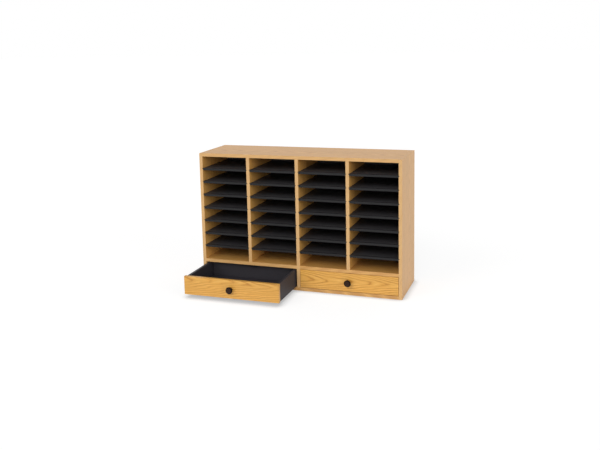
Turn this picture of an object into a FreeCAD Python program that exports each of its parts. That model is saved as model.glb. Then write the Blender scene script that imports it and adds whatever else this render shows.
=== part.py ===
import FreeCAD, Part
import os

# Pigeonhole mail sorter: a four-column oak laminate cabinet over two drawers.
# Millimetres. The origin is on the floor, under the middle of the cabinet; +X is to the right,
# -Y is the open front and +Z is up. The left drawer stands open and the right one is shut.

# Cabinet
columns = 4
rows = 8
column_width = 229.25       # clear width of a pigeonhole, for letter paper
row_pitch = 63.75           # from one shelf to the next
cabinet_depth = 298.0
panel_thickness = 16.0
drawer_bay_height = 90.0
edge_chamfer = 0.5

# Back panel, let into rebates behind the outer panels
back_thickness = 3.2
rebate_width = 8.0
back_clearance = 0.5

# Lift-out shelves
board_thickness = 3.2
board_rise = 6.0            # top of a board above its pitch line
groove_depth = 3.5
groove_clearance = 0.3      # above, below and beside a board in its grooves
shelf_back_gap = 0.8
moulding_setback = 1.0      # from the cabinet's front edges
moulding_height = 10.5
moulding_wall = 1.0
moulding_arm = 9.0
label_pocket = 0.7
label_lip = 1.8
lip_wall = 0.7
moulding_side_gap = 0.5

# Drawers
drawer_front_thickness = 16.0
drawer_reveal = 1.5         # gap round a shut drawer front
drawer_side_inset = 5.0     # from the end of the front to the outside of the box
drawer_board = 12.0
drawer_side_drop = 4.0      # top of the box below the top of the front
drawer_running_gap = 0.3
drawer_dado = 6.0
drawer_bottom_thickness = 3.2
drawer_bottom_rise = 8.0
drawer_bottom_groove = 5.0
drawer_bottom_clearance = 0.2
drawer_back_gap = 1.0       # behind a shut drawer
left_drawer_shy = 11.8      # how far the open left drawer stands short of its stop

# Drawer guides and stops
guide_height = 12.0
guide_front_setback = 20.0
stop_length = 40.0
stop_thickness = 12.0
stop_height = 14.0
stop_front_gap = 2.0

# Knobs
knob_diameter = 33.0
knob_neck_diameter = 14.0
knob_base_diameter = 19.0
knob_projection = 25.0
knob_base_height = 4.0
knob_waist_height = 6.4
knob_rim_height = 18.4      # widest place of the head
knob_rounding = 1.5         # of the rim
knob_foot_bow = (0.7, 0.36)     # middle of a curve, as shares of its step in radius and height
knob_flare_bow = (0.3, 0.54)
knob_crown_bow = (0.33, 0.77)
knob_dish_depth = 1.6
knob_dish_diameter = 21.0
knob_screw_diameter = 4.0
knob_screw_grip = 12.0      # thread in the knob
knob_screw_head_diameter = 8.5
knob_screw_head_height = 2.6

# Fasteners
fit_clearance = 0.05
dowel_diameter = 8.0
dowel_end_depth = 22.0
blind_skin = 6.0            # wood left behind a hole in a panel's face
cam_bolt_diameter = 6.0
cam_bolt_reach = 34.0       # from the end of the panel to the middle of its lock
cam_lock_diameter = 15.0
cam_lock_skin = 3.5
cam_slot_width = 2.0
cam_slot_depth = 1.5
fixing_inset = 50.0         # cam bolts, from the front and rear edges
dowel_offset = 32.0         # dowels, from their cam bolts
divider_stagger = 16.0      # right-hand fixings on the centre divider
divider_dowel_inset = 60.0
nail_diameter = 1.6
nail_length = 22.0
nail_head_diameter = 5.0
nail_head_height = 0.8
nail_spacing = 125.0
nail_corner_inset = 40.0
nail_edge = 3.0             # from the edges of the back panel
box_screw_diameter = 3.5
box_screw_length = 35.0
box_screw_head_diameter = 7.0
box_screw_head_height = 2.5
box_screw_edge = 18.0

# Worked out from the sizes above
cabinet_width = columns * column_width + (columns + 1) * panel_thickness
shelf_floor = 2 * panel_thickness + drawer_bay_height
stack_height = rows * row_pitch
cabinet_height = shelf_floor + stack_height + panel_thickness
half_width = cabinet_width / 2
half_depth = cabinet_depth / 2
inner_half_width = half_width - panel_thickness
back_face = half_depth - back_thickness
column_pitch = column_width + panel_thickness
drawer_bay_width = inner_half_width - panel_thickness / 2
drawer_bay_middle = panel_thickness / 2 + drawer_bay_width / 2
drawer_front_width = drawer_bay_width - 2 * drawer_reveal
drawer_box_width = drawer_front_width - 2 * drawer_side_inset
drawer_front_low = panel_thickness + drawer_reveal
drawer_front_high = panel_thickness + drawer_bay_height - drawer_reveal
drawer_box_low = panel_thickness + drawer_running_gap
drawer_box_high = drawer_front_high - drawer_side_drop
drawer_box_back = back_face - drawer_back_gap
knob_height = (drawer_front_low + drawer_front_high) / 2
stop_front = -half_depth + drawer_front_thickness + stop_front_gap
drawer_travel = drawer_box_back - drawer_board - stop_front - stop_thickness
left_drawer_open = drawer_travel - left_drawer_shy


def box(x0, x1, y0, y1, z0, z1):
    """A block between two corners."""
    return Part.makeBox(x1 - x0, y1 - y0, z1 - z0, FreeCAD.Vector(x0, y0, z0))


def board(x0, x1, y0, y1, z0, z1):
    """A block with its edges eased."""
    block = box(x0, x1, y0, y1, z0, z1)
    return block.makeChamfer(edge_chamfer, block.Edges)


def rod(diameter, length, start, direction):
    """A round bar from a point along a direction."""
    return Part.makeCylinder(diameter / 2, length, FreeCAD.Vector(*start), FreeCAD.Vector(*direction))


def cut_all(shape, tools):
    """A shape with every tool taken out of it."""
    return shape.cut(Part.makeCompound(tools)) if tools else shape


def divider_x(index):
    """Middle of divider 1, 2 or 3, counted from the left."""
    return -half_width + panel_thickness / 2 + index * column_pitch


def column_left(column):
    """Left wall of a column, counted from 0."""
    return divider_x(column) + panel_thickness / 2


def board_top(row):
    """Top face of the board over pigeonhole row 1 to rows - 1."""
    return shelf_floor + row * row_pitch + board_rise


# Fixings between panels. Each horizontal panel meets an upright at its ends.

def panel_ends():
    """Every end of a horizontal panel: its plane, the way into the upright, height, y shift."""
    low = panel_thickness / 2
    middle = shelf_floor - panel_thickness / 2
    high = cabinet_height - panel_thickness / 2
    near = panel_thickness / 2
    ends = []
    for height in (low, middle, high):
        ends.append((-inner_half_width, -1, height, 0.0))
        ends.append((inner_half_width, 1, height, 0.0))
    ends.append((-near, 1, middle, 0.0))
    ends.append((near, -1, middle, divider_stagger))
    return ends


def cam_places():
    """Plane, direction, height and y of every cam bolt."""
    places = []
    for plane, into, height, shift in panel_ends():
        for side in (-1, 1):
            places.append((plane, into, height, side * (half_depth - fixing_inset) + shift))
    return places


def end_dowel_places():
    """Plane, direction, height and y of every dowel in a panel's end."""
    places = []
    for plane, into, height, shift in panel_ends():
        for side in (-1, 1):
            y = side * (half_depth - fixing_inset - dowel_offset) + shift
            places.append((plane, into, height, y))
    return places


def end_bar(place, diameter, face_depth, end_depth):
    """A bar across the joint at the end of a horizontal panel."""
    plane, into, height, y = place
    start = (plane - into * end_depth, y, height)
    return rod(diameter, face_depth + end_depth, start, (into, 0, 0))


def divider_ends():
    """Middle x, height of the joint and the way out of the divider at each of its ends."""
    ends = []
    for index in range(1, columns):
        foot = panel_thickness if index * 2 == columns else shelf_floor
        ends.append((divider_x(index), foot, -1))
        ends.append((divider_x(index), shelf_floor + stack_height, 1))
    return ends


def upright_bars(diameter, face_depth, end_depth):
    """Bars across the joints at the ends of the dividers."""
    bars = []
    for x, height, out in divider_ends():
        for side in (-1, 1):
            y = side * (half_depth - divider_dowel_inset)
            start = (x, y, height - out * end_depth)
            bars.append(rod(diameter, face_depth + end_depth, start, (0, 0, out)))
    return bars


def dowels(extra):
    """All dowels, or the holes for them when extra is more than nothing."""
    diameter = dowel_diameter + 2 * extra
    face_depth = panel_thickness - blind_skin + extra
    end_depth = dowel_end_depth + extra
    bars = [end_bar(place, diameter, face_depth, end_depth) for place in end_dowel_places()]
    return bars + upright_bars(diameter, face_depth, end_depth)


def cam_bolts(extra):
    """All cam bolts, or the holes for them."""
    diameter = cam_bolt_diameter + 2 * extra
    face_depth = panel_thickness - blind_skin + extra
    reach = cam_bolt_reach - cam_lock_diameter / 2 + extra
    return [end_bar(place, diameter, face_depth, reach) for place in cam_places()]


def cam_locks(extra):
    """All cam locks, set in the undersides of the panels, or their pockets."""
    height = panel_thickness - cam_lock_skin
    locks = []
    for plane, into, middle, y in cam_places():
        x = plane - into * cam_bolt_reach
        bottom = middle - panel_thickness / 2
        locks.append(rod(cam_lock_diameter + 2 * extra, height + extra, (x, y, bottom), (0, 0, 1)))
    return locks


def cam_slots():
    """Screwdriver slots across the cam locks."""
    slots = []
    reach = cam_lock_diameter / 3
    for plane, into, middle, y in cam_places():
        x = plane - into * cam_bolt_reach
        bottom = middle - panel_thickness / 2
        half = cam_slot_width / 2
        slots.append(box(x - reach, x + reach, y - half, y + half, bottom, bottom + cam_slot_depth))
        slots.append(box(x - half, x + half, y - reach, y + reach, bottom, bottom + cam_slot_depth))
    return slots


def spread(low, high, spacing):
    """Evenly spread places from low to high, no further apart than the spacing."""
    count = max(1, -int(-(high - low) // spacing))
    return [low + (high - low) * step / count for step in range(count + 1)]


def nail_places():
    """x and z of every nail in the back panel, clear of the shelf grooves."""
    side = inner_half_width + rebate_width - back_clearance - nail_edge
    low = panel_thickness - rebate_width + back_clearance + nail_edge
    high = cabinet_height - low
    bay_middle = panel_thickness + drawer_bay_height / 2
    along = spread(-half_width + nail_corner_inset, half_width - nail_corner_inset, nail_spacing)
    up = [shelf_floor + (row + 0.5) * row_pitch for row in range(0, rows, 2)]
    places = [(x, z) for x in along for z in (low, high)]
    places += [(x, z) for x in (-side, side) for z in [bay_middle] + up]
    places += [(divider_x(index), z) for index in range(1, columns) for z in up]
    places += [(column_left(column) + column_width / 2, shelf_floor - panel_thickness / 2)
               for column in range(columns)]
    return places


def nails(extra):
    """Back panel nails with sunk heads, or the holes for them."""
    shapes = []
    for x, z in nail_places():
        shank = rod(nail_diameter + 2 * extra, nail_length + extra, (x, half_depth, z), (0, -1, 0))
        head = rod(nail_head_diameter + 2 * extra, nail_head_height + extra, (x, half_depth, z), (0, -1, 0))
        shapes.append(shank.fuse(head))
    return shapes


# Cabinet panels

def board_grooves(x_wall, side):
    """Shelf grooves in the wall at x_wall, cut towards side."""
    low_x, high_x = sorted((x_wall, x_wall + side * groove_depth))
    grooves = []
    for row in range(1, rows):
        top = board_top(row) + groove_clearance
        bottom = board_top(row) - board_thickness - groove_clearance
        grooves.append(box(low_x, high_x, -half_depth, half_depth, bottom, top))
    return grooves


def back_rebate():
    """Space that the back panel and its clearance take."""
    side = inner_half_width + rebate_width
    low = panel_thickness - rebate_width
    return box(-side, side, back_face, half_depth, low, cabinet_height - low)


def drill(panel):
    """A panel with the holes of all the fixings that reach it."""
    near = panel.BoundBox
    gap = fit_clearance
    tools = dowels(gap) + cam_bolts(gap) + cam_locks(gap) + nails(gap)
    return cut_all(panel, [tool for tool in tools if near.intersect(tool.BoundBox)])


def side_panel(side):
    """A side, side -1 on the left and 1 on the right."""
    low_x, high_x = sorted((side * inner_half_width, side * half_width))
    panel = board(low_x, high_x, -half_depth, half_depth, 0, cabinet_height)
    return drill(cut_all(panel, board_grooves(side * inner_half_width, side) + [back_rebate()]))


def cross_panel(low_x, high_x, bottom):
    """A horizontal panel between two uprights, with its rear edge against the back panel."""
    panel = board(low_x, high_x, -half_depth, half_depth, bottom, bottom + panel_thickness)
    return drill(panel.cut(back_rebate()))


def divider(index):
    """An upright between two columns; the middle one also parts the drawers."""
    x = divider_x(index)
    half = panel_thickness / 2
    foot = panel_thickness if index * 2 == columns else shelf_floor
    panel = board(x - half, x + half, -half_depth, back_face, foot, shelf_floor + stack_height)
    grooves = board_grooves(x - half, 1) + board_grooves(x + half, -1)
    return drill(cut_all(panel, grooves))


def back_panel():
    """Thin back, loose in its rebates by a small clearance."""
    side = inner_half_width + rebate_width - back_clearance
    low = panel_thickness - rebate_width + back_clearance
    panel = box(-side, side, back_face, half_depth, low, cabinet_height - low)
    return cut_all(panel, nails(fit_clearance))


# Lift-out shelves

def moulding_profile(top):
    """Outline of the front moulding, as depth behind its face and height."""
    web_front = lip_wall + label_pocket
    web_back = web_front + moulding_wall
    arm_back = web_back + moulding_arm
    high = top + moulding_wall
    low = high - moulding_height
    under = top - board_thickness
    return [
        (0, high), (arm_back, high), (arm_back, top), (web_back, top),
        (web_back, under), (arm_back, under), (arm_back, under - moulding_wall),
        (web_back, under - moulding_wall), (web_back, low), (0, low),
        (0, low + label_lip), (lip_wall, low + label_lip), (lip_wall, low + moulding_wall),
        (web_front, low + moulding_wall), (web_front, top), (lip_wall, top),
        (lip_wall, high - label_lip), (0, high - label_lip),
    ]


def moulding(column, row):
    """Label moulding along the front edge of a board."""
    left = column_left(column) + moulding_side_gap
    front = -half_depth + moulding_setback
    points = [FreeCAD.Vector(left, front + y, z) for y, z in moulding_profile(board_top(row))]
    face = Part.Face(Part.makePolygon(points + points[:1]))
    return face.extrude(FreeCAD.Vector(column_width - 2 * moulding_side_gap, 0, 0))


def shelf_board(column, row):
    """Thin board with its ends in the grooves."""
    reach = groove_depth - groove_clearance
    left = column_left(column) - reach
    right = column_left(column) + column_width + reach
    front = -half_depth + moulding_setback + lip_wall + label_pocket + moulding_wall
    top = board_top(row)
    return box(left, right, front, back_face - shelf_back_gap, top - board_thickness, top)


# Drawers. Each is drawn shut, and the left one is then moved out.

def drawer_dadoes(middle):
    """Housings in the back of the front for the two sides."""
    half = drawer_box_width / 2
    back = -half_depth + drawer_front_thickness
    low = drawer_box_low
    left = box(middle - half, middle - half + drawer_board, back - drawer_dado, back, low, drawer_box_high)
    right = box(middle + half - drawer_board, middle + half, back - drawer_dado, back, low, drawer_box_high)
    return [left, right]


def drawer_bottom(middle, extra):
    """Thin drawer bottom, or its groove when extra is more than nothing."""
    half = drawer_box_width / 2 - drawer_board + drawer_bottom_groove + extra
    front = -half_depth + drawer_front_thickness - drawer_bottom_groove - extra
    low = drawer_box_low + drawer_bottom_rise - extra
    high = low + drawer_bottom_thickness + 2 * extra
    return box(middle - half, middle + half, front, drawer_box_back, low, high)


def drawer_front(middle):
    """Drawer front with housings, bottom groove and knob hole."""
    half = drawer_front_width / 2
    back = -half_depth + drawer_front_thickness
    front = board(middle - half, middle + half, -half_depth, back, drawer_front_low, drawer_front_high)
    hole = rod(knob_screw_diameter + 2 * fit_clearance, drawer_front_thickness,
               (middle, -half_depth, knob_height), (0, 1, 0))
    groove = drawer_bottom(middle, drawer_bottom_clearance)
    return cut_all(front, drawer_dadoes(middle) + [groove, hole])


def drawer_side(middle, side):
    """A drawer side, from its housing in the front to the rear."""
    outer = middle + side * drawer_box_width / 2
    inner = outer - side * drawer_board
    low_x, high_x = sorted((outer, inner))
    front = -half_depth + drawer_front_thickness - drawer_dado
    panel = box(low_x, high_x, front, drawer_box_back, drawer_box_low, drawer_box_high)
    tools = [drawer_bottom(middle, drawer_bottom_clearance)] + box_screws(middle, fit_clearance)
    return cut_all(panel, tools)


def drawer_back(middle):
    """Drawer back between the sides, standing on the bottom."""
    half = drawer_box_width / 2 - drawer_board
    low = drawer_box_low + drawer_bottom_rise + drawer_bottom_thickness
    front = drawer_box_back - drawer_board
    panel = box(middle - half, middle + half, front, drawer_box_back, low, drawer_box_high)
    return cut_all(panel, box_screws(middle, fit_clearance))


def box_screws(middle, extra):
    """Screws through the drawer sides into the ends of the back, or their holes."""
    low = drawer_box_low + drawer_bottom_rise + drawer_bottom_thickness + box_screw_edge
    screws = []
    for side in (-1, 1):
        for z in (low, drawer_box_high - box_screw_edge):
            start = (middle + side * drawer_box_width / 2, drawer_box_back - drawer_board / 2, z)
            inward = (-side, 0, 0)
            shank = rod(box_screw_diameter + 2 * extra, box_screw_length + extra, start, inward)
            head = rod(box_screw_head_diameter + 2 * extra, box_screw_head_height + extra, start, inward)
            screws.append(shank.fuse(head))
    return screws


def knob_outline():
    """Half section of the knob, as radius and height above the drawer front."""
    base = knob_base_diameter / 2
    head = knob_diameter / 2
    foot = (base, knob_base_height / 2)
    waist = (knob_neck_diameter / 2, knob_waist_height)
    under = (head - knob_rounding, knob_rim_height - knob_rounding)
    rim = (head, knob_rim_height)
    shoulder = (head - knob_rounding / 2, knob_rim_height + knob_rounding)
    crown = (knob_dish_diameter / 2, knob_projection)
    return [
        line((0, 0), (base, 0)),
        line((base, 0), foot),
        bowed(foot, waist, knob_foot_bow),
        bowed(waist, under, knob_flare_bow),
        arc(under, rim, shoulder),
        bowed(shoulder, crown, knob_crown_bow),
        line(crown, (0, knob_projection)),
        line((0, knob_projection), (0, 0)),
    ]


def knob(middle):
    """Turned knob with a shallow dish in its face and a hole for its screw."""
    face = Part.Face(Part.Wire(knob_outline()))
    turned = face.revolve(FreeCAD.Vector(0, 0, 0), FreeCAD.Vector(0, 0, 1), 360)
    dish = knob_dish_diameter / 2
    radius = (dish ** 2 + knob_dish_depth ** 2) / (2 * knob_dish_depth)
    centre = FreeCAD.Vector(0, 0, knob_projection - knob_dish_depth + radius)
    bore = knob_screw_diameter + 2 * fit_clearance
    hole = rod(bore, knob_screw_grip + fit_clearance, (0, 0, 0), (0, 0, 1))
    turned = cut_all(turned, [Part.makeSphere(radius, centre), hole])
    turned.rotate(FreeCAD.Vector(0, 0, 0), FreeCAD.Vector(1, 0, 0), 90)
    turned.translate(FreeCAD.Vector(middle, -half_depth, knob_height))
    return turned


def line(start, end):
    """A straight edge in the plane of radius and height."""
    return Part.makeLine(*(FreeCAD.Vector(r, 0, h) for r, h in (start, end)))


def arc(start, through, end):
    """A circular edge in the plane of radius and height."""
    points = [FreeCAD.Vector(r, 0, h) for r, h in (start, through, end)]
    return Part.Arc(*points).toShape()


def bowed(start, end, bow):
    """A circular edge whose middle is at the shares in bow of the step from start to end."""
    middle = [low + share * (high - low) for low, high, share in zip(start, end, bow)]
    return arc(start, middle, end)


def knob_screw(middle):
    """Machine screw from inside the drawer into the knob."""
    back = -half_depth + drawer_front_thickness
    length = drawer_front_thickness + knob_screw_grip
    shank = rod(knob_screw_diameter, length, (middle, back, knob_height), (0, -1, 0))
    head = rod(knob_screw_head_diameter, knob_screw_head_height, (middle, back, knob_height), (0, 1, 0))
    return shank.fuse(head)


def drawer_guides():
    """Strips beside the drawers, on the bottom panel, that keep them straight."""
    front = -half_depth + drawer_front_thickness + guide_front_setback
    top = panel_thickness + guide_height
    guides = []
    for middle in (-drawer_bay_middle, drawer_bay_middle):
        for side in (-1, 1):
            wall = middle + side * drawer_bay_width / 2
            face = middle + side * (drawer_box_width / 2 + drawer_running_gap)
            low_x, high_x = sorted((wall, face))
            guides.append(box(low_x, high_x, front, back_face, panel_thickness, top))
    return guides


def drawer_stops():
    """Blocks under the drawer bay's top that catch the drawer backs."""
    top = panel_thickness + drawer_bay_height
    low = top - stop_height
    half = stop_length / 2
    back = stop_front + stop_thickness
    return [box(middle - half, middle + half, stop_front, back, low, top)
            for middle in (-drawer_bay_middle, drawer_bay_middle)]


def drawer_pieces(name, middle, opened):
    """Every piece of one drawer, moved out by the distance opened."""
    pieces = {
        "front": drawer_front(middle),
        "side_left": drawer_side(middle, -1),
        "side_right": drawer_side(middle, 1),
        "back": drawer_back(middle),
        "bottom": drawer_bottom(middle, 0),
        "knob": knob(middle),
        "knob_screw": knob_screw(middle),
        "screws": Part.makeCompound(box_screws(middle, 0)),
    }
    for shape in pieces.values():
        shape.translate(FreeCAD.Vector(0, -opened, 0))
    return {name + "_" + key: shape for key, shape in pieces.items()}


def cabinet_pieces():
    """Panels and fixings of the cabinet."""
    near = panel_thickness / 2
    bay_top = shelf_floor - panel_thickness
    lid = shelf_floor + stack_height
    slots = cam_slots()
    return {
        "side_panel_left": side_panel(-1),
        "side_panel_right": side_panel(1),
        "top_panel": cross_panel(-inner_half_width, inner_half_width, lid),
        "bottom_panel": cross_panel(-inner_half_width, inner_half_width, 0),
        "fixed_shelf_left": cross_panel(-inner_half_width, -near, bay_top),
        "fixed_shelf_right": cross_panel(near, inner_half_width, bay_top),
        "divider_left": divider(1),
        "divider_center": divider(2),
        "divider_right": divider(3),
        "back_panel": back_panel(),
        "dowels": Part.makeCompound(dowels(0)),
        "cam_bolts": Part.makeCompound(cam_bolts(0)),
        "cam_locks": Part.makeCompound([cut_all(lock, slots) for lock in cam_locks(0)]),
        "back_nails": Part.makeCompound(nails(0)),
        "drawer_guides": Part.makeCompound(drawer_guides()),
        "drawer_stops": Part.makeCompound(drawer_stops()),
    }


def shelf_pieces():
    """Every lift-out shelf: a board and its moulding."""
    shelves = {}
    for column in range(columns):
        for row in range(1, rows):
            pair = [shelf_board(column, row), moulding(column, row)]
            shelves["shelf_%d_%d" % (column + 1, row)] = Part.makeCompound(pair)
    return shelves


nodes = cabinet_pieces()
nodes.update(shelf_pieces())
nodes.update(drawer_pieces("drawer_left", -drawer_bay_middle, left_drawer_open))
nodes.update(drawer_pieces("drawer_right", drawer_bay_middle, 0.0))

os.makedirs("parts", exist_ok=True)
for node, shape in nodes.items():
    shape.exportStep("parts/" + node + ".step")
print("nodes", len(nodes))
print("cabinet", cabinet_width, cabinet_depth, cabinet_height, "left drawer out", left_drawer_open)
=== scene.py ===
from math import cos, pi, radians, sin

import bpy
import numpy as np
from mathutils import Matrix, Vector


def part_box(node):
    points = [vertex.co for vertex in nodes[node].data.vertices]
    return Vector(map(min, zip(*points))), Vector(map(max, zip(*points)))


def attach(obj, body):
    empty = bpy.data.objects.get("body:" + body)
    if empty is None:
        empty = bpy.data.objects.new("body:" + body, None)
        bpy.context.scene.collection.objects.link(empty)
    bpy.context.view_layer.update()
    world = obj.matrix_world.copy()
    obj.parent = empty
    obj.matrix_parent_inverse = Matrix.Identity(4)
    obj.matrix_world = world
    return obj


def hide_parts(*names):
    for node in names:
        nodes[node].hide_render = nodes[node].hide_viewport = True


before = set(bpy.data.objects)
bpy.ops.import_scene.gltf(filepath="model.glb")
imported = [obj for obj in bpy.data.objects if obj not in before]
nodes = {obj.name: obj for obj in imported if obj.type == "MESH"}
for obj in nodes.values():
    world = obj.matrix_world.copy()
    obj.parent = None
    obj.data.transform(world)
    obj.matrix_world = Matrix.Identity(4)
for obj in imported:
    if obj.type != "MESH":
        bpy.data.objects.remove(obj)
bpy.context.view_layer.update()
print("frame loaded:", len(nodes), "nodes")

# camera: it stands a little right of the middle, just above the top
cameraLook = {
    "place": (1.153, -3.400, 1.173),    # metres
    "turn": -19.213,        # degrees about the vertical, to the left of +Y
    "dip": 8.567,           # degrees below the horizon
    "roll": -1.167,         # degrees about the line of sight
    "lens": 45.108,         # mm
    "sensor": 36.0,         # mm
    "shift": -0.11667,      # share of the image width
    "clip": (0.05, 200.0),  # metres
}

turn, dip, roll = (radians(cameraLook[key]) for key in ("turn", "dip", "roll"))
ahead = np.array([sin(turn) * cos(dip), cos(turn) * cos(dip), -sin(dip)])
level = np.array([cos(turn), -sin(turn), 0.0])
above = np.cross(level, ahead)
cameraMatrix = np.eye(4)
cameraMatrix[:3, 0] = cos(roll) * level + sin(roll) * above
cameraMatrix[:3, 1] = -sin(roll) * level + cos(roll) * above
cameraMatrix[:3, 2] = -ahead
cameraMatrix[:3, 3] = cameraLook["place"]
cameraData = bpy.data.cameras.new("mainCamera")
cameraData.lens = cameraLook["lens"]
cameraData.sensor_width = cameraLook["sensor"]
cameraData.shift_y = cameraLook["shift"]
cameraData.clip_start, cameraData.clip_end = cameraLook["clip"]
mainCamera = bpy.data.objects.new("mainCamera", cameraData)
mainCamera.matrix_world = Matrix(cameraMatrix.tolist())
bpy.context.scene.collection.objects.link(mainCamera)
bpy.context.scene.camera = mainCamera

# floor and lights
lightLook = {
    "ambient": 0.42,
    "backdrop": 1.0,        # the white that the camera and reflections see all round
    "lamps": {              # strength, the side it comes from, its width in degrees
        "key": {"strength": 0.72, "from": (-0.62, -1.0, 0.74), "spread": 34.0, "glint": True},
        "front": {"strength": 0.66, "from": (0.10, -1.0, 0.60), "spread": 24.0, "glint": True},
        "low": {"strength": 0.36, "from": (0.36, -1.0, 0.15), "spread": 20.0, "glint": True},
        "fill": {"strength": 0.80, "from": (1.0, -0.50, 0.28), "spread": 30.0,
                 "glint": False},   # it stands low, and its highlight would wash out the top
    },
    "lampDistance": 3.0,    # metres; a sun lamp lights the same from anywhere
    "floorReach": 60.0,     # metres each way
    "floorColour": 0.80,    # what the floor gives back to the object
    "floorShown": 0.30,     # the part of the floor's white that takes shadows
    "floorLift": 0.80,      # the rest, which only the nearest surroundings of the object darken
    "contactShare": 0.54,   # what is left of the lift right beside the object
    "contactReach": 0.040,  # metres from the object within which the floor darkens, a painted contact shadow
    "contactOpen": (0.50, 0.95),    # how open the floor is where the darkening is full and where it ends
    "contactSamples": 16,
}


def addNode(tree, kind, links=(), stops=(), **settings):
    # a shader node with its settings; links lists the sockets in order, or names them in a dictionary,
    # and each value in it is another node's socket or a plain value
    node = tree.nodes.new("ShaderNode" + kind)
    for name, value in settings.items():
        setattr(node, name, value)
    for socket, value in links.items() if isinstance(links, dict) else enumerate(links):
        if isinstance(value, bpy.types.NodeSocket):
            tree.links.new(value, node.inputs[socket])
        else:
            node.inputs[socket].default_value = value
    if stops:
        elements = node.color_ramp.elements
        while len(elements) < len(stops):
            elements.new(1.0)
        for element, (position, colour) in zip(elements, stops):
            element.position, element.color = position, colour
    return node


def grey(share):
    return (share, share, share, 1.0)


def seenDirectly(tree):
    # 1 for what the camera, a reflection or a glass sees, 0 for light that falls on a surface
    path = addNode(tree, "LightPath").outputs
    either = addNode(tree, "Math", [path["Is Camera Ray"], path["Is Glossy Ray"]], operation="MAXIMUM")
    return addNode(tree, "Math", [either.outputs[0], path["Is Transmission Ray"]],
                   operation="MAXIMUM").outputs[0]


world = bpy.data.worlds.new("studio")
bpy.context.scene.world = world
world.use_nodes = True
sky = world.node_tree
sky.nodes.clear()
softLight, whiteBack = (addNode(sky, "Background", {"Color": grey(1.0), "Strength": lightLook[key]})
                        for key in ("ambient", "backdrop"))
bothSkies = addNode(sky, "MixShader", [seenDirectly(sky), softLight.outputs[0], whiteBack.outputs[0]])
addNode(sky, "OutputWorld", {"Surface": bothSkies.outputs[0]})

for name, look in lightLook["lamps"].items():
    lampData = bpy.data.lights.new(name + "Light", "SUN")
    lampData.energy = look["strength"]
    lampData.angle = radians(look["spread"])
    lamp = bpy.data.objects.new(name + "Light", lampData)
    toward = np.array(look["from"], float)
    toward /= np.linalg.norm(toward)
    across = np.cross((0.0, 0.0, 1.0), toward)
    across /= np.linalg.norm(across)
    lampMatrix = np.eye(4)
    lampMatrix[:3, 0], lampMatrix[:3, 1], lampMatrix[:3, 2] = across, np.cross(toward, across), toward
    lampMatrix[:3, 3] = lightLook["lampDistance"] * toward
    lamp.matrix_world = Matrix(lampMatrix.tolist())
    lamp.visible_glossy = look["glint"]
    bpy.context.scene.collection.objects.link(lamp)

reach = lightLook["floorReach"]
floorMesh = bpy.data.meshes.new("floor")
floorMesh.from_pydata([(-reach, -reach, 0), (reach, -reach, 0), (reach, reach, 0), (-reach, reach, 0)],
                      [], [(0, 1, 2, 3)])
floor = bpy.data.objects.new("floor", floorMesh)
bpy.context.scene.collection.objects.link(floor)
floorFinish = bpy.data.materials.new("paleFloor")
floorFinish.use_nodes = True
tree = floorFinish.node_tree
tree.nodes.clear()
bouncing, showing = (addNode(tree, "BsdfDiffuse", {"Color": grey(lightLook[key])}).outputs[0]
                     for key in ("floorColour", "floorShown"))
# painted contact shadow: ambient occlusion takes part of the floor's white lift away near the object
openness = addNode(tree, "AmbientOcclusion", {"Distance": lightLook["contactReach"]},
                   samples=lightLook["contactSamples"])
lifting = addNode(tree, "MapRange", [openness.outputs["AO"], *lightLook["contactOpen"],
                                     lightLook["floorLift"] * lightLook["contactShare"],
                                     lightLook["floorLift"]])
lift = addNode(tree, "Emission", {"Color": grey(1.0), "Strength": lifting.outputs[0]})
shown = addNode(tree, "AddShader", [showing, lift.outputs[0]])
bothFloors = addNode(tree, "MixShader", [seenDirectly(tree), bouncing, shown.outputs[0]])
addNode(tree, "OutputMaterial", {"Surface": bothFloors.outputs[0]})
floorMesh.materials.append(floorFinish)
print("camera, floor and lights set")

# Patterns read Object coordinates, which are in metres, so one of s mm has the scale 1000 / s.
noiseRange = (0.3, 0.7)     # most values of a noise lie between these


def tint(code):
    # sRGB hex to the linear colour that a shader socket takes
    value = np.array([int(code[i:i + 2], 16) for i in (1, 3, 5)]) / 255
    linear = np.where(value <= 0.04045, value / 12.92, ((value + 0.055) / 1.055) ** 2.4)
    return (*linear.tolist(), 1.0)


def toneStops(positions, codes):
    # a colour ramp's stops
    return [(position, tint(code)) for position, code in zip(positions, codes)]


def newFinish(name):
    # a material that has only its shader; also gives its node tree and its texture coordinates
    finish = bpy.data.materials.new(name)
    finish.use_nodes = True
    tree = finish.node_tree
    tree.nodes.clear()
    shader = addNode(tree, "BsdfPrincipled")
    addNode(tree, "OutputMaterial", {"Surface": shader.outputs[0]})
    return finish, tree, shader, addNode(tree, "TexCoord").outputs


def dress(name, finish):
    # gives a CAD node its finish
    for materialSlot in nodes[name].material_slots:
        materialSlot.material = finish


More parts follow.
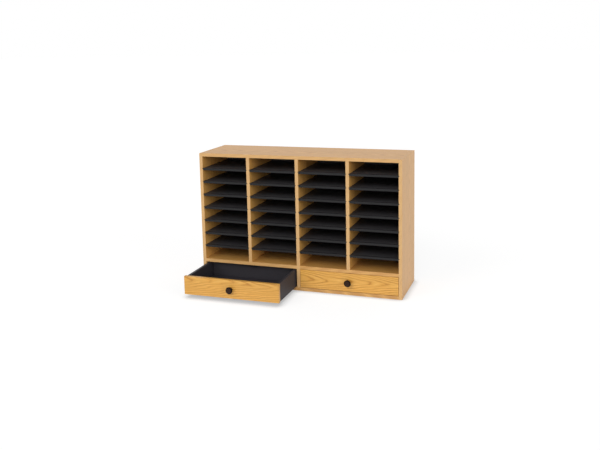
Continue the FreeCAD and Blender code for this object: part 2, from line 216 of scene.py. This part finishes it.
# Medium oak melamine on particle board, printed flat-sawn: rings cut into long arches, darker pores in
# short dashes along the grain, a satin sheen, a paler strip on the banded front edges and bare chips
# on the edges that face the wall or the floor. Lengths are in mm, and a slimness is a pattern's width
# over its length along the grain.
oakLook = {
    "ground": "#dca457",
    "light": "#e2ad60",
    "ringStops": (0.0, 0.16, 0.5, 0.82, 0.97),      # where in a ring: line, ground, light, ground, line
    "patch": {"width": 22.2, "range": (0.36, 0.62)},    # places where the rings show more or less
    "fibre": {"width": 3.33, "slimness": 0.012, "palest": 1.04},
    "cloud": {"width": 167.0, "slimness": 0.3, "tones": (0.95, 1.04)},
    "pore": {"colour": "#95672f", "width": 1.333, "slimness": 0.035,    # real ones, 0.2 wide, wouldn't show
             "range": (0.57, 0.68), "early": (0.1, 0.6), "late": 0.3},  # crowded where each ring starts
    "band": "#d3ac79",
    "bandShare": 0.74,
    "bandFacing": -0.6,     # normals further forward than this are banded edges
    "chips": ("#a98556", "#c9a674", "#dcc195"),
    "chipSize": 2.4,
    "skin": 0.7,            # laminate that shows round a bare edge
    "bareFacing": 0.6,      # normals further back, or under the feet further down, are bare edges
    "roughness": (0.39, 0.55),      # between the pores, and in them
    "fullPore": 0.8,        # a pore this strong has all of its roughness
    "bump": (0.25, 0.2),    # strength, and height
    "turned": {"Z": (0, 0, 0), "X": (0, pi / 2, 0)},    # brings the grain's way to Z
}


def oakPrint(tree, coords, look):
    # the printed wood's colour and its pores; a ring is the distance from a heart line plus a taper along
    # the grain, divided into equal steps
    grain = addNode(tree, "Mapping", {"Vector": coords["Object"], "Location": look["heart"],
                                      "Rotation": oakLook["turned"][look["grain"]],
                                      "Scale": (0.001, 0.001, 0.001)},     # metres to mm
                    vector_type="TEXTURE").outputs[0]
    along = addNode(tree, "SeparateXYZ", [grain]).outputs["Z"]

    def stretched(slimness):
        return addNode(tree, "VectorMath", [grain, (1, 1, slimness)], operation="MULTIPLY").outputs[0]

    slim = stretched(look["stretch"])   # the rings drift more slowly along the grain than across it
    drift = addNode(tree, "TexNoise", {"Vector": slim, "Scale": 1 / look["driftSize"], "Detail": 2.0})
    swayed = addNode(tree, "VectorMath", [drift.outputs["Color"], (look["sway"], look["sway"], 0), slim],
                     operation="MULTIPLY_ADD").outputs[0]
    rise = addNode(tree, "Math", [along, 2 * pi * look["taper"] / look["ring"]], operation="MULTIPLY")
    # a wave of scale 1 repeats every 2 pi / 20
    rings = addNode(tree, "TexWave", {"Vector": swayed, "Scale": 2 * pi / (20 * look["ring"]),
                                      "Distortion": look["ripple"], "Detail": 3.0, "Detail Scale": 1.6,
                                      "Detail Roughness": 0.6, "Phase Offset": rise.outputs[0]},
                    wave_type="RINGS", rings_direction="Z", wave_profile="SAW").outputs["Fac"]
    ringTones = [look[key] for key in ("line", "ground", "light", "ground", "line")]
    arches = addNode(tree, "ValToRGB", [rings], stops=toneStops(oakLook["ringStops"], ringTones))
    patch = oakLook["patch"]
    patches = addNode(tree, "TexNoise", {"Vector": slim, "Scale": 1 / patch["width"], "Detail": 3.0})
    clarity = addNode(tree, "MapRange", [patches.outputs["Fac"], *patch["range"], look["faint"], 1.0])
    figure = addNode(tree, "Mix", {0: clarity.outputs[0], 6: tint(look["ground"]), 7: arches.outputs[0]},
                     data_type="RGBA").outputs[2]

    # finer straight fibres, and broad clouds
    fibre, cloud = oakLook["fibre"], oakLook["cloud"]
    fibres = addNode(tree, "TexNoise", {"Vector": stretched(fibre["slimness"]), "Scale": 1 / fibre["width"],
                                        "Detail": 4.0, "Roughness": 0.65})
    fibreTone = addNode(tree, "MapRange", [fibres.outputs["Fac"], *noiseRange,
                                           look["fibre"], fibre["palest"]])
    clouds = addNode(tree, "TexNoise", {"Vector": stretched(cloud["slimness"]), "Scale": 1 / cloud["width"],
                                        "Detail": 2.0})
    cloudTone = addNode(tree, "MapRange", [clouds.outputs["Fac"], *noiseRange, *cloud["tones"]])
    tone = addNode(tree, "Math", [fibreTone.outputs[0], cloudTone.outputs[0]], operation="MULTIPLY")
    printed = addNode(tree, "VectorMath", {0: figure, "Scale": tone.outputs[0]}, operation="SCALE").outputs[0]

    pore = oakLook["pore"]
    dashes = addNode(tree, "TexNoise", {"Vector": stretched(pore["slimness"]), "Scale": 1 / pore["width"],
                                        "Detail": 1.5})
    dashMask = addNode(tree, "MapRange", [dashes.outputs["Fac"], *pore["range"], 0.0, look["poreShare"]])
    crowding = addNode(tree, "MapRange", [rings, *pore["early"], 1.0, pore["late"]])
    pores = addNode(tree, "Math", [dashMask.outputs[0], crowding.outputs[0]], operation="MULTIPLY").outputs[0]
    wood = addNode(tree, "Mix", {0: pores, 6: printed, 7: tint(pore["colour"])}, data_type="RGBA").outputs[2]
    return wood, pores


def bareChips(tree, coords, facing, colour, bare):
    # pressed chips a few millimetres across, in the middle of the unbanded edges, over the given colour
    spot = addNode(tree, "SeparateXYZ", [coords["Object"]]).outputs[bare["across"]]
    offset = addNode(tree, "Math", [spot, bare["middle"]], operation="SUBTRACT")
    near = addNode(tree, "Math", [offset.outputs[0]], operation="ABSOLUTE")
    inside = addNode(tree, "Math", [near.outputs[0], bare["half"] - oakLook["skin"] / 1000],
                     operation="LESS_THAN").outputs[0]
    edge = addNode(tree, "Math", [facing["Y"], oakLook["bareFacing"]], operation="GREATER_THAN").outputs[0]
    if bare["feet"]:
        under = addNode(tree, "Math", [facing["Z"], -oakLook["bareFacing"]], operation="LESS_THAN")
        edge = addNode(tree, "Math", [edge, under.outputs[0]], operation="MAXIMUM").outputs[0]
    mask = addNode(tree, "Math", [inside, edge], operation="MULTIPLY").outputs[0]
    chips = addNode(tree, "TexVoronoi", {"Vector": coords["Object"], "Scale": 1000 / oakLook["chipSize"]})
    chipTone = addNode(tree, "SeparateXYZ", [chips.outputs["Color"]]).outputs[0]
    chipColour = addNode(tree, "ValToRGB", [chipTone], stops=toneStops((0.0, 0.5, 1.0), oakLook["chips"]))
    return addNode(tree, "Mix", {0: mask, 6: colour, 7: chipColour.outputs[0]}, data_type="RGBA").outputs[2]


def oakLaminate(name, look):
    finish, tree, shader, coords = newFinish(name)
    colour, pores = oakPrint(tree, coords, look)
    facing = addNode(tree, "SeparateXYZ", [coords["Normal"]]).outputs
    banded = addNode(tree, "Math", [facing["Y"], oakLook["bandFacing"]], operation="LESS_THAN")
    bandShare = addNode(tree, "Math", [banded.outputs[0], look["band"]], operation="MULTIPLY")
    colour = addNode(tree, "Mix", {0: bandShare.outputs[0], 6: colour, 7: tint(oakLook["band"])},
                     data_type="RGBA").outputs[2]
    if "bare" in look:
        colour = bareChips(tree, coords, facing, colour, look["bare"])
    tree.links.new(colour, shader.inputs["Base Color"])
    sheen = addNode(tree, "MapRange", [pores, 0.0, oakLook["fullPore"], *oakLook["roughness"]])
    tree.links.new(sheen.outputs[0], shader.inputs["Roughness"])
    strength, depth = oakLook["bump"]
    bump = addNode(tree, "Bump", {"Height": pores, "Strength": strength, "Distance": depth / 1000},
                   invert=True)
    tree.links.new(bump.outputs[0], shader.inputs["Normal"])
    return finish


panelLook = {
    "ring": 9.0,            # mm from ring to ring
    "taper": 0.10,          # mm that a ring's radius changes in each mm of grain
    "sway": 22.0,           # mm that the rings wander, in drifts of the next size
    "driftSize": 70.0,
    "stretch": 0.16,        # the drifts' slimness
    "ripple": 2.2,
    "fibre": 0.84,          # tone of the darkest fibres
    "poreShare": 0.55,
    "faint": 0.5,           # share of the rings that shows in the faintest places
    "ground": oakLook["ground"],
    "light": oakLook["light"],
    "line": "#c48a41",
    "band": oakLook["bandShare"],
}
panelThickness = 0.016      # metres
uprights = {    # a point of the heart line beside each upright, in metres
    "side_panel_left": (-0.455, -0.035, 0.2),
    "side_panel_right": (0.533, 0.030, 0.2),
    "divider_left": (-0.205, 0.020, 0.2),
    "divider_center": (0.046, -0.030, 0.2),
    "divider_right": (0.288, 0.045, 0.2),
}
# each level panel's ground and band share make a darker copy of the oak as painted shade: the top a little,
# against its sheen; the fixed shelves' and the bottom panel's front edges more, most of all the bottom
# panel's edge by the floor
levelsWithPaintedShade = {      # the same over or under each level panel, then its ground colour and its band's share
    "top_panel": ((0.1, -0.020, 0.688), "#da9f4c", 0.60),
    "bottom_panel": ((0.1, 0.030, -0.030), "#bd8a4a", 0.20),
    "fixed_shelf_left": ((0.1, -0.040, 0.150), "#d39d55", 0.50),
    "fixed_shelf_right": ((0.1, 0.050, 0.155), "#cb944f", 0.22),
}
for name, heart in uprights.items():
    lowest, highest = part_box(name)
    bare = {"across": "X", "middle": (lowest.x + highest.x) / 2, "half": panelThickness / 2, "feet": True}
    dress(name, oakLaminate("oakMelamine_" + name, {**panelLook, "grain": "Z", "heart": heart, "bare": bare}))
for name, (heart, ground, band) in levelsWithPaintedShade.items():
    lowest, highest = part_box(name)
    bare = {"across": "Z", "middle": (lowest.z + highest.z) / 2, "half": panelThickness / 2, "feet": False}
    dress(name, oakLaminate("oakMelamine_" + name, {
        **panelLook, "ground": ground, "band": band, "grain": "X", "heart": heart, "bare": bare}))

frontLook = {"ring": 9.5, "taper": 0.10, "stretch": 0.24, "ripple": 2.6, "fibre": 0.88, "poreShare": 0.5,
             "ground": "#dba24a", "light": "#e8b35c", "band": 0.0, "grain": "X"}
drawerFronts = {    # the left front has faint waves, the right one long arches
    "drawer_left_front": {"heart": (-0.27, -0.352, 0.074), "sway": 40.0, "driftSize": 60.0,
                          "faint": 0.25, "line": "#ba7e34"},
    "drawer_right_front": {"heart": (0.39, -0.122, 0.051), "sway": 26.0, "driftSize": 70.0,
                           "faint": 0.4, "line": "#b3782e"},
}
for name, figure in drawerFronts.items():
    dress(name, oakLaminate("oakMelamine_" + name, {**frontLook, **figure}))
print("oak panels and drawer fronts finished")

# Painted hardboard: pressed fibre under black paint, which shows as a fine mottle with a dull sheen;
# its rough side carries the print of the press's wire screen.
hardboardLook = {
    "tones": ("#2b292b", "#3c3a3d"),
    "toneRange": (0.3, 0.72),
    "mottle": 6.4,          # mm, and its finest detail is a fibre's width
    "mottleHeight": 0.4,    # share of the screen's
    "screen": 2.6,          # mm from wire to wire
    "screenFacing": {"Y": 0.5, "Z": -0.5},  # the rough side's axis, and normals past this are on it
    "roughness": (0.55, 0.8),       # of the smooth side and the rough one
    "bump": (0.5, 0.3),     # strength, and height in mm
}


def paintedHardboard(name, roughSide):
    finish, tree, shader, coords = newFinish(name)
    mottle = addNode(tree, "TexNoise", {"Vector": coords["Object"], "Scale": 1000 / hardboardLook["mottle"],
                                        "Detail": 5.0, "Roughness": 0.7}).outputs["Fac"]
    colour = addNode(tree, "ValToRGB", [mottle],
                     stops=toneStops(hardboardLook["toneRange"], hardboardLook["tones"]))
    tree.links.new(colour.outputs[0], shader.inputs["Base Color"])
    # screen print: the product of two waves, one along X and one along the other way of the sheet
    spot = addNode(tree, "SeparateXYZ", [coords["Object"]])
    pace = 2000 * pi / hardboardLook["screen"]      # radians per metre
    waves = []
    for axis in ("X", "Z" if roughSide == "Y" else "Y"):
        turns = addNode(tree, "Math", [spot.outputs[axis], pace], operation="MULTIPLY")
        waves.append(addNode(tree, "Math", [turns.outputs[0]], operation="SINE").outputs[0])
    screenPrint = addNode(tree, "Math", waves, operation="MULTIPLY")
    facing = addNode(tree, "SeparateXYZ", [coords["Normal"]])
    edge = hardboardLook["screenFacing"][roughSide]
    rough = addNode(tree, "Math", [facing.outputs[roughSide], edge],
                    operation="GREATER_THAN" if edge > 0 else "LESS_THAN").outputs[0]
    screen = addNode(tree, "Math", [screenPrint.outputs[0], rough], operation="MULTIPLY")
    height = addNode(tree, "Math", [mottle, hardboardLook["mottleHeight"], screen.outputs[0]],
                     operation="MULTIPLY_ADD").outputs[0]
    strength, depth = hardboardLook["bump"]
    bump = addNode(tree, "Bump", {"Height": height, "Strength": strength, "Distance": depth / 1000})
    tree.links.new(bump.outputs[0], shader.inputs["Normal"])
    sheen = addNode(tree, "MapRange", [rough, 0.0, 1.0, *hardboardLook["roughness"]])
    tree.links.new(sheen.outputs[0], shader.inputs["Roughness"])
    return finish


backFinish = paintedHardboard("paintedHardboard_back", "Y")
boardFinish = paintedHardboard("paintedHardboard_shelf", "Z")

# Charcoal foil on particle board: printed vinyl with a soft pebble emboss, dull, faintly violet.
foilLook = {
    "tones": ("#2c2a2e", "#343137"),
    "pebble": 1.4,          # mm
    "speckle": 3.8,         # mm
    "roughness": 0.6,
    "specular": 0.35,
    "bump": (0.3, 0.2),     # strength, and height in mm
}


def charcoalFoil(name):
    finish, tree, shader, coords = newFinish(name)
    speckle = addNode(tree, "TexNoise", {"Vector": coords["Object"], "Scale": 1000 / foilLook["speckle"],
                                         "Detail": 5.0, "Roughness": 0.7})
    colour = addNode(tree, "ValToRGB", [speckle.outputs["Fac"]],
                     stops=toneStops(noiseRange, foilLook["tones"]))
    tree.links.new(colour.outputs[0], shader.inputs["Base Color"])
    pebbles = addNode(tree, "TexVoronoi", {"Vector": coords["Object"], "Scale": 1000 / foilLook["pebble"]},
                      feature="SMOOTH_F1").outputs["Distance"]
    strength, depth = foilLook["bump"]
    bump = addNode(tree, "Bump", {"Height": pebbles, "Strength": strength, "Distance": depth / 1000})
    tree.links.new(bump.outputs[0], shader.inputs["Normal"])
    shader.inputs["Roughness"].default_value = foilLook["roughness"]
    shader.inputs["Specular IOR Level"].default_value = foilLook["specular"]
    return finish


foilFinish = charcoalFoil("charcoalFoil")

# Black extruded PVC: a satin skin with faint die lines along its length.
plasticLook = {
    "tones": ("#151516", "#1f1f21"),
    "dieLine": 1.1,         # mm across
    "slimness": 1 / 50,     # a line's width over its length
    "roughness": (0.34, 0.46),
    "specular": 0.28,
    "bump": (0.2, 0.1),     # strength, and height in mm
}


def extrudedPlastic(name):
    finish, tree, shader, coords = newFinish(name)
    drawn = addNode(tree, "VectorMath", [coords["Object"], (plasticLook["slimness"], 1, 1)],
                    operation="MULTIPLY")
    lines = addNode(tree, "TexNoise", {"Vector": drawn.outputs[0], "Scale": 1000 / plasticLook["dieLine"],
                                       "Detail": 2.0}).outputs["Fac"]
    colour = addNode(tree, "ValToRGB", [lines], stops=toneStops(noiseRange, plasticLook["tones"]))
    tree.links.new(colour.outputs[0], shader.inputs["Base Color"])
    gloss = addNode(tree, "MapRange", [lines, *noiseRange, *plasticLook["roughness"]])
    tree.links.new(gloss.outputs[0], shader.inputs["Roughness"])
    shader.inputs["Specular IOR Level"].default_value = plasticLook["specular"]
    strength, depth = plasticLook["bump"]
    bump = addNode(tree, "Bump", {"Height": lines, "Strength": strength, "Distance": depth / 1000})
    tree.links.new(bump.outputs[0], shader.inputs["Normal"])
    return finish


mouldingFinish = extrudedPlastic("extrudedPlastic")

# Moulded phenolic, brown-black: satin, with a fine speckle, and paler on its forward face, a painted
# highlight of the dished face.
phenolicLook = {
    "rim": ("#170b05", "#231309"),
    # the face's paler tones are a painted highlight on the forward-facing dish
    "face": ("#2c1c14", "#3b2a21"),
    "highlightFacing": (-0.78, -0.97),   # forward part of the normal where the painted highlight starts and is full
    "speckle": 2.4,                 # mm
    "roughness": (0.30, 0.42),
    "specular": 0.08,               # a soft highlight only
}


def mouldedKnob(name):
    finish, tree, shader, coords = newFinish(name)
    speckle = addNode(tree, "TexNoise", {"Vector": coords["Object"], "Scale": 1000 / phenolicLook["speckle"],
                                         "Detail": 3.0}).outputs["Fac"]
    rim, face = (addNode(tree, "ValToRGB", [speckle], stops=toneStops(noiseRange, phenolicLook[part]))
                 for part in ("rim", "face"))
    facing = addNode(tree, "SeparateXYZ", [coords["Normal"]])
    # painted highlight: the faces that look forward take the paler tones
    paintedHighlight = addNode(tree, "MapRange", [facing.outputs["Y"], *phenolicLook["highlightFacing"], 0.0, 1.0])
    colour = addNode(tree, "Mix", {0: paintedHighlight.outputs[0], 6: rim.outputs[0], 7: face.outputs[0]},
                     data_type="RGBA")
    tree.links.new(colour.outputs[2], shader.inputs["Base Color"])
    gloss = addNode(tree, "MapRange", [speckle, *noiseRange, *phenolicLook["roughness"]])
    tree.links.new(gloss.outputs[0], shader.inputs["Roughness"])
    shader.inputs["Specular IOR Level"].default_value = phenolicLook["specular"]
    return finish


knobFinish = mouldedKnob("mouldedPhenolic")

# Bright zinc plate on steel: grey metal with small crystals of varying gloss.
zincLook = {
    "tones": ("#a9aaa8", "#c4c5c2"),
    "crystal": 1.1,         # mm
    "roughness": (0.28, 0.42),
}


def zincPlate(name):
    finish, tree, shader, coords = newFinish(name)
    crystals = addNode(tree, "TexVoronoi", {"Vector": coords["Object"], "Scale": 1000 / zincLook["crystal"]})
    tone = addNode(tree, "SeparateXYZ", [crystals.outputs["Color"]]).outputs[0]
    colour = addNode(tree, "ValToRGB", [tone], stops=toneStops((0.0, 1.0), zincLook["tones"]))
    tree.links.new(colour.outputs[0], shader.inputs["Base Color"])
    gloss = addNode(tree, "MapRange", [tone, 0.0, 1.0, *zincLook["roughness"]])
    tree.links.new(gloss.outputs[0], shader.inputs["Roughness"])
    shader.inputs["Metallic"].default_value = 1.0
    return finish


zincFinish = zincPlate("zincPlatedSteel")

# Beech dowel: turned and bare, pale pink-brown with small darker flecks.
beechLook = {
    "tones": ("#b98d5f", "#d2ab7c"),
    "toneRange": (0.35, 0.6),
    "fleck": 1.7,           # mm
    "roughness": 0.6,
}


def beechPeg(name):
    finish, tree, shader, coords = newFinish(name)
    flecks = addNode(tree, "TexNoise", {"Vector": coords["Object"], "Scale": 1000 / beechLook["fleck"],
                                        "Detail": 3.0})
    colour = addNode(tree, "ValToRGB", [flecks.outputs["Fac"]],
                     stops=toneStops(beechLook["toneRange"], beechLook["tones"]))
    tree.links.new(colour.outputs[0], shader.inputs["Base Color"])
    shader.inputs["Roughness"].default_value = beechLook["roughness"]
    return finish


beechFinish = beechPeg("beechPeg")

plainFinishes = {
    "back_panel": backFinish, "dowels": beechFinish, "cam_bolts": zincFinish, "cam_locks": zincFinish,
    "back_nails": zincFinish, "drawer_guides": mouldingFinish, "drawer_stops": mouldingFinish,
}
for side in ("left", "right"):
    for piece in ("side_left", "side_right", "back", "bottom"):
        plainFinishes["drawer_%s_%s" % (side, piece)] = foilFinish
    for piece in ("knob_screw", "screws"):
        plainFinishes["drawer_%s_%s" % (side, piece)] = zincFinish
for name, finish in plainFinishes.items():
    dress(name, finish)
print("other finishes set")

samePoint = 1e-8    # metres; points nearer than this are one


def roundCorners(corners, steps):
    # corners holds two coordinates and a reach for each corner of a closed outline. A corner becomes a curve
    # that starts one reach back along its first side and ends one reach forward along its second: at the
    # share t of the way, (1-t) squared times the start, plus 2t(1-t) times the corner, plus t squared times
    # the end.
    corners = np.asarray(corners, float)
    corners, radii = corners[:, :2], corners[:, 2][:, None, None]
    back = np.roll(corners, 1, 0) - corners
    forward = np.roll(corners, -1, 0) - corners
    back /= np.linalg.norm(back, axis=1)[:, None]
    forward /= np.linalg.norm(forward, axis=1)[:, None]
    t = np.linspace(0, 1, steps)[None, :, None]
    middle = corners[:, None, :]
    points = ((1 - t) ** 2 * (middle + radii * back[:, None, :]) + 2 * t * (1 - t) * middle
              + t ** 2 * (middle + radii * forward[:, None, :])).reshape(-1, 2)
    apart = np.linalg.norm(points - np.roll(points, 1, 0), axis=1) > samePoint
    return points[apart]


def closedMesh(name, rings, finish, smoothAngle):
    # rings: an array of closed rings of points; neighbours are joined by quads and the two ends are capped.
    # The faces' signed volume, a sum of triple products of their corners, tells which way they point.
    count, around = rings.shape[:2]
    across, down = np.meshgrid(np.arange(around), np.arange(count - 1))
    nextAcross = (across + 1) % around
    quads = np.stack([down * around + across, down * around + nextAcross,
                      (down + 1) * around + nextAcross, (down + 1) * around + across], -1).reshape(-1, 4)
    points = rings.reshape(-1, 3)
    a, b, c, d = (points[quads[:, i]] for i in range(4))
    volume = (np.cross(a, b) * c).sum() + (np.cross(a, c) * d).sum()
    caps = [list(range(around))[::-1], list(range((count - 1) * around, count * around))]
    for cap, ring in zip(caps, (rings[0], rings[-1])):
        p = points[cap]
        volume += (np.cross(p, np.roll(p, -1, 0)) * ring.mean(0)).sum()
    faces = quads.tolist() + caps
    if volume < 0:
        faces = [face[::-1] for face in faces]
    mesh = bpy.data.meshes.new(name)
    mesh.from_pydata(points.tolist(), [], faces)
    mesh.polygons.foreach_set("use_smooth", np.ones(len(faces), bool))
    mesh.set_sharp_from_angle(angle=radians(smoothAngle))
    mesh.materials.append(finish)
    mesh.update()
    piece = bpy.data.objects.new(name, mesh)
    bpy.context.scene.collection.objects.link(piece)
    return piece


def sweptX(outline, stations):
    # an outline of y and z carried straight along x
    rings = np.empty((len(stations), len(outline), 3))
    rings[:, :, 0] = np.asarray(stations)[:, None]
    rings[:, :, 1:] = outline[None]
    return rings


# lift-out shelves: a hardboard sheet held in a moulding that has a channel for a label
shelfLook = {       # metres
    "board": 0.0032,
    "boardEase": 0.0005,
    "wall": 0.0010,
    "arm": 0.0090,
    "pocket": 0.0007,       # the label's room
    "lip": 0.0018,
    "lipWall": 0.0007,
    "height": 0.0105,
    "frontEase": 0.00055,
    "armEase": 0.0004,
    "innerEase": 0.0003,
    "lipEase": 0.0002,
    "endGap": 0.0037,       # from the board's end to the moulding's end
    "cornerSteps": 4,
    "smoothAngle": 32.0,    # degrees
}
board, wall, lip, lipWall = (shelfLook[key] for key in ("board", "wall", "lip", "lipWall"))
frontEase, armEase, innerEase, lipEase = (shelfLook[key + "Ease"] for key in ("front", "arm", "inner", "lip"))
webFront = lipWall + shelfLook["pocket"]
webBack = webFront + wall
armBack = webBack + shelfLook["arm"]
crest = wall                # heights from the board's top face
foot = crest - shelfLook["height"]
mouldingOutline = roundCorners([    # depth behind the front, height, and how far the corner is rounded
    (0, crest, frontEase), (armBack, crest, armEase), (armBack, 0, 0), (webBack, 0, 0),
    (webBack, -board, 0), (armBack, -board, 0), (armBack, -board - wall, armEase),
    (webBack, -board - wall, armEase), (webBack, foot, innerEase), (0, foot, frontEase),
    (0, foot + lip, lipEase), (lipWall, foot + lip, lipEase), (lipWall, foot + wall, 0),
    (webFront, foot + wall, innerEase), (webFront, 0, innerEase), (lipWall, 0, 0),
    (lipWall, crest - lip, lipEase), (0, crest - lip, lipEase)], shelfLook["cornerSteps"])

for column in range(1, 5):
    for row in range(1, 8):
        node = "shelf_%d_%d" % (column, row)
        lowest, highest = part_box(node)
        boardTop = highest.z - wall
        ends = (lowest.x + shelfLook["endGap"], highest.x - shelfLook["endGap"])
        moulding = closedMesh("shelfMoulding_%d_%d" % (column, row),
                              sweptX(mouldingOutline + (lowest.y, boardTop), ends),
                              mouldingFinish, shelfLook["smoothAngle"])
        front, ease = lowest.y + webBack, shelfLook["boardEase"]
        boardOutline = roundCorners([(front, boardTop, ease), (highest.y, boardTop, ease),
                                     (highest.y, boardTop - board, ease), (front, boardTop - board, ease)],
                                    shelfLook["cornerSteps"])
        sheet = closedMesh("shelfBoard_%d_%d" % (column, row), sweptX(boardOutline, (lowest.x, highest.x)),
                           boardFinish, shelfLook["smoothAngle"])
        for piece, slot in ((moulding, "black_plastic"), (sheet, "shelf_black")):
            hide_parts(node)
            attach(piece, node)
print("28 lift-out shelves built")

# knobs: a turned shape with a flared neck and a dished face. Each point of the section goes round the
# knob's own axis, which runs along Y: x is the radius times the cosine of the angle, z the radius times
# its sine, and y is the height, forward.
knobLook = {
    "around": 96,
    "cornerSteps": 14,
    "smoothAngle": 60.0,    # degrees
    "corners": [    # radius and height over the drawer front in mm, then how far the corner is rounded
        (0.4, 0.0, 0.0), (9.5, 0.0, 0.2), (9.5, 2.9, 1.4), (6.4, 5.0, 1.8), (7.6, 12.2, 5.2),
        (16.5, 15.2, 2.6), (16.5, 20.6, 2.6), (11.4, 25.35, 1.7), (5.0, 23.3, 3.6), (0.4, 23.3, 0.0)],
}
knobCorners = np.array(knobLook["corners"]) / 1000
section = roundCorners(knobCorners, knobLook["cornerSteps"])
start = np.argmin(np.linalg.norm(section - knobCorners[0, :2], axis=1))
section = np.roll(section, -start, 0)
angles = np.linspace(0, 2 * pi, knobLook["around"], endpoint=False)
for side in ("left", "right"):
    node = "drawer_%s_knob" % side
    lowest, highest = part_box(node)
    rings = np.empty((len(section), len(angles), 3))
    rings[:, :, 0] = (lowest.x + highest.x) / 2 + section[:, :1] * np.cos(angles)
    rings[:, :, 1] = highest.y - section[:, 1:]
    rings[:, :, 2] = (lowest.z + highest.z) / 2 + section[:, :1] * np.sin(angles)
    knob = closedMesh("drawerKnob_" + side, rings, knobFinish, knobLook["smoothAngle"])
    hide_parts(node)
    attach(knob, "drawer_" + side)
print("knobs built")

bpy.context.scene.view_settings.view_transform = "Standard"
print("done")
